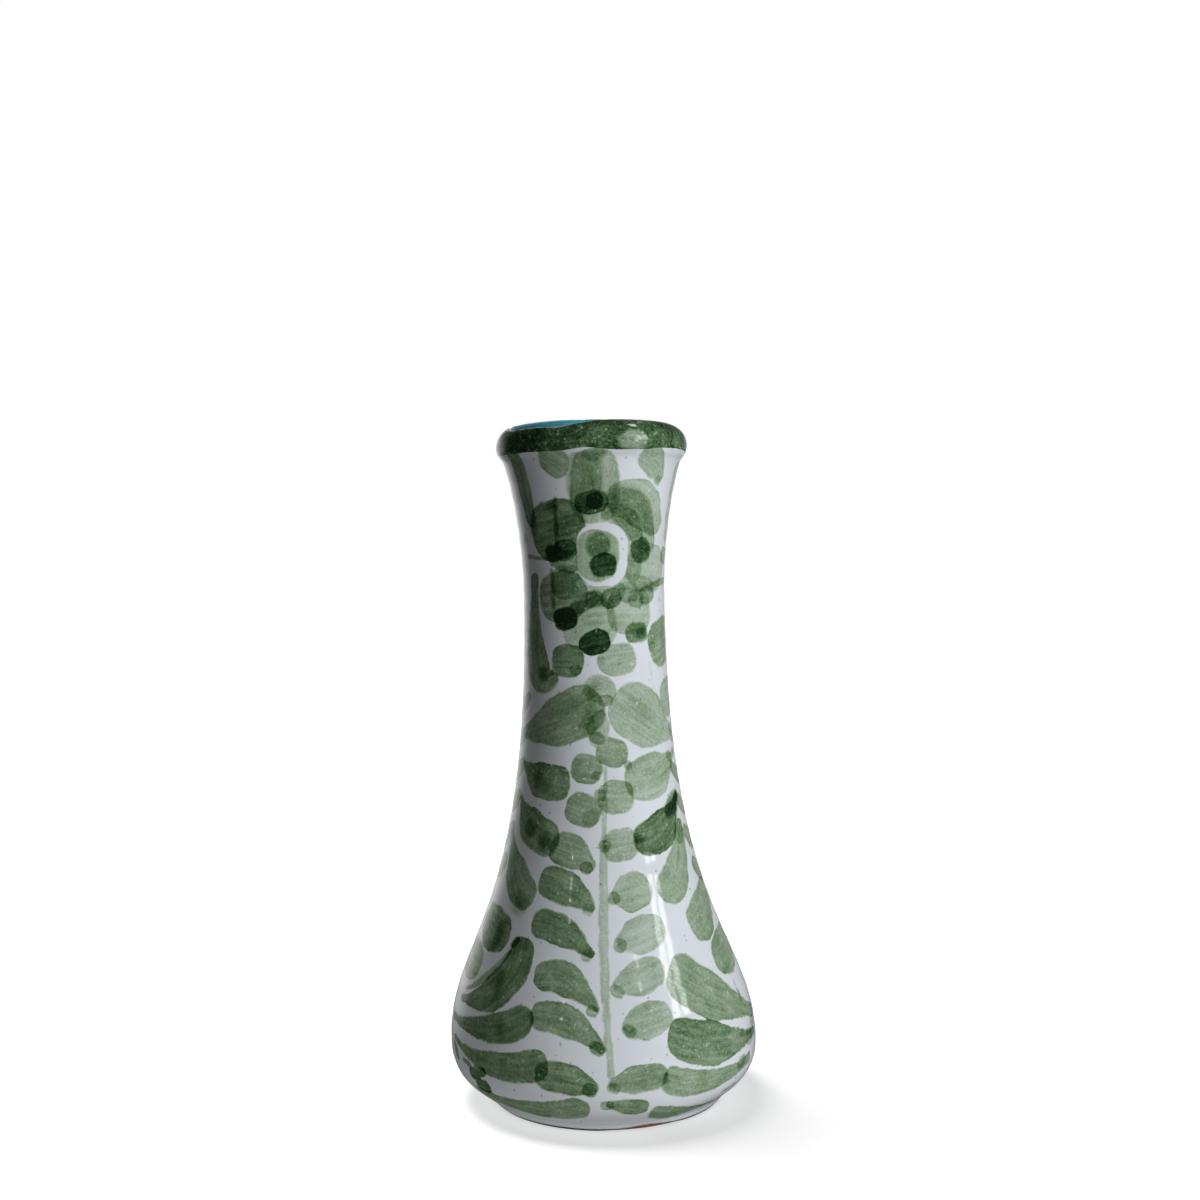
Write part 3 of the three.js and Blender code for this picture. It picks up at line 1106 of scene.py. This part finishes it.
def bounce(name, place, size, power, lit):
    """Light that comes up from the floor."""
    data = bpy.data.lights.new(name, "AREA")
    data.size = size
    data.energy = power
    lamp = bpy.data.objects.new(name, data)
    lamp.location = (*place, BOUNCE_HEIGHT)
    lamp.rotation_euler = (math.pi, 0, 0)
    lamp.visible_glossy = False
    lamp.visible_camera = False
    lamp.light_linking.receiver_collection = lit
    bpy.context.scene.collection.objects.link(lamp)


def lights(vase, ground):
    panel("key", 46, 22, 1.2, 0.65, 0.8, 10.6, vase, glossy=False, colour=(0.98, 1.0, 1.03))
    panel("fill", -40, 20, 1.6, 1.6, 1.2, 0.62, vase, glossy=False, colour=(1, 0.98, 0.93))
    bounce("floor_bounce", (0.42, -0.28), 1.1, 1.9, vase)
    panel("back_key", 205, 30, 1.3, 0.8, 0.8, 20, vase, glossy=False)
    panel("window_left_pane", 60.5, 21, 1.5, 0.155, 0.47, 1.6, vase)
    panel("window_right_pane", 68.7, 21, 1.5, 0.155, 0.47, 1.6, vase)
    panel("lamp_left", -31.5, 18, 1.5, 0.04, 0.09, 0.12, vase)
    panel("lamp_right", 35, 27.5, 1.5, 0.05, 0.05, 0.1, vase)
    panel("skylight", 119, 64, 1.5, 0.42, 0.1, 1.1, vase)
    panel("shadow_maker", -128, 71, 1.2, 0.6, 0.6, 27, ground)


def world():
    """Pale surroundings: bright behind the vase, dim on the painter's side."""
    scene = bpy.context.scene
    scene.world = bpy.data.worlds.new("studio")
    scene.world.use_nodes = True
    nodes = Nodes(scene.world.node_tree)
    scene.world.node_tree.nodes.clear()
    direction = nodes.add("ShaderNodeTexCoord").outputs["Generated"]
    right, back, up = nodes.split(direction)
    behind = nodes.math("SUBTRACT", back, nodes.math("MULTIPLY", right, 0.115))
    brightest = nodes.spread(right, -0.3, 0.3, 1.0, 0.4)
    glow = nodes.spread(behind, 0.6, 0.98, 0.04, brightest, smooth=True)
    glow = nodes.math("MULTIPLY", glow, nodes.spread(up, -0.3, -0.04, 0.12, 1.0, smooth=True))
    glow = nodes.math("MULTIPLY", glow, nodes.spread(up, 0.12, 0.36, 1.0, 0.2, smooth=True))
    seen = nodes.add("ShaderNodeLightPath").outputs["Is Camera Ray"]
    strength = nodes.spread(seen, 0, 1, glow, 1.0)
    background = nodes.add("ShaderNodeBackground")
    background.inputs["Color"].default_value = (1, 1, 1, 1)
    nodes.feed(background.inputs["Strength"], strength)
    output = nodes.add("ShaderNodeOutputWorld")
    scene.world.node_tree.links.new(background.outputs[0], output.inputs["Surface"])
    scene.world.cycles_visibility.diffuse = False
    scene.view_settings.view_transform = "Standard"


# ---------------------------------------------------------------- the scene

vase_pieces = bpy.data.collections.new("vase_pieces")
ground_pieces = bpy.data.collections.new("ground_pieces")
camera()
floor()
lights(vase_pieces, ground_pieces)
world()
brush_group = stroke_group()
white_coat(brush_group)
rim_coat(brush_group)
liner_coat()
clay_body()
